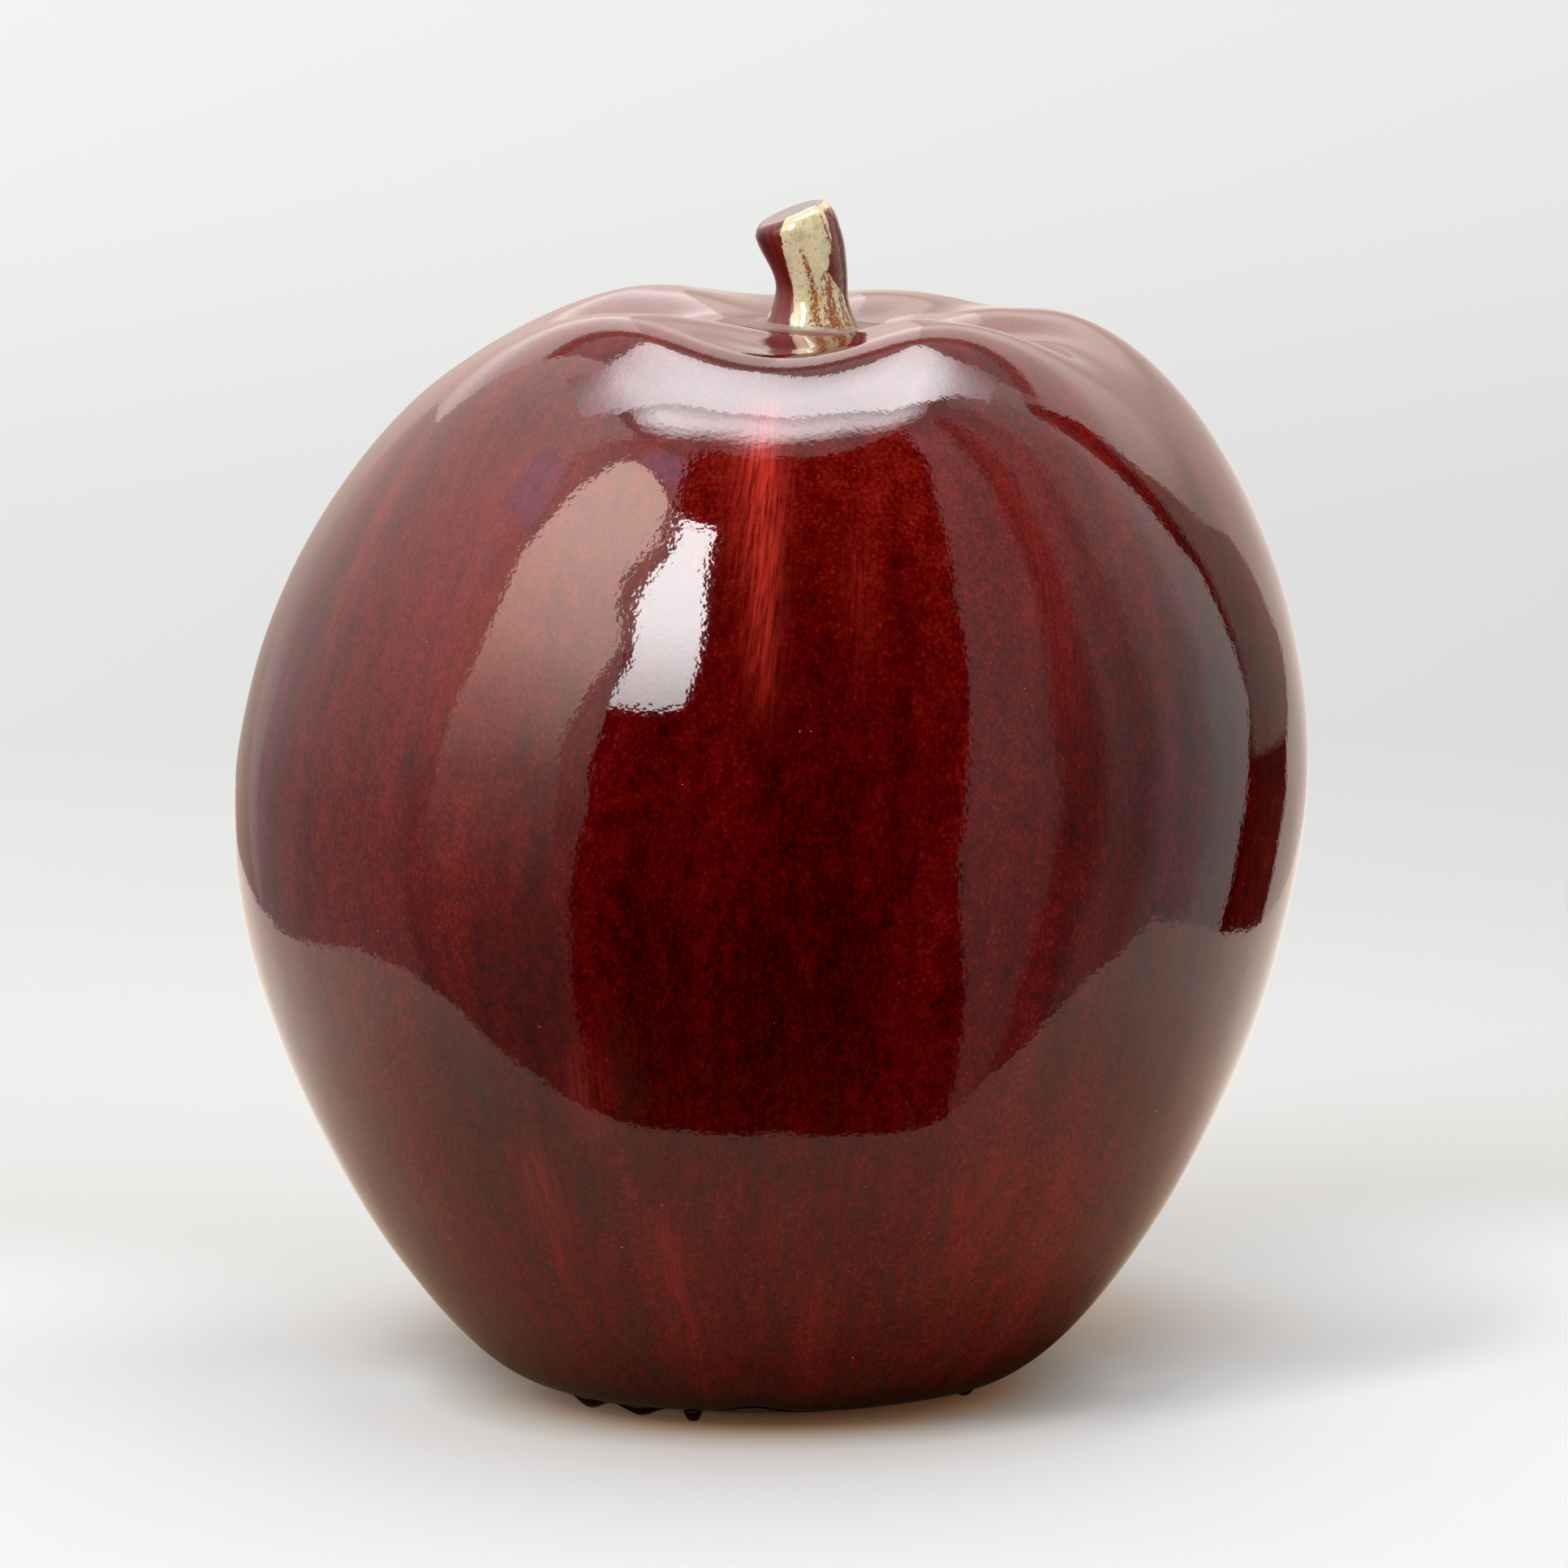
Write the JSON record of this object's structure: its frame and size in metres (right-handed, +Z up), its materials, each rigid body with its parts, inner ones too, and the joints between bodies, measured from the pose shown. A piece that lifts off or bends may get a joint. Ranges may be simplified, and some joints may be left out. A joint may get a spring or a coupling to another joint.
{
  "type": "stoneware apple sculpture",
  "caption": "Larger-than-life hollow stoneware apple with a lobed crown, a short leaning stem and glossy oxblood glaze that ends in drips above a bare foot ring.",
  "frame": {"origin": "middle of the foot ring, on the surface that the apple stands on", "axes": "+Z up along the stem, -Y towards the front that the picture shows, +X to the right seen from the front"},
  "size_m": [0.3702, 0.37, 0.4111],
  "materials": {
    "stoneware": "matte",
    "oxblood_glaze": "gloss",
    "glaze_edge": "gloss",
    "pool_glaze": "gloss",
    "stem_glaze": "gloss"
  },
  "bodies": {
    "root": {"lower_shell": "stoneware", "upper_shell": "stoneware", "seam_coil": "stoneware", "foot_ring": "stoneware", "stem_core": "stoneware", "stem_clench": "stoneware", "body_glaze": "oxblood_glaze", "glaze_roll": "glaze_edge", "crown_pool": "pool_glaze", "stem_glaze": "stem_glaze"}
  },
  "joints": []
}
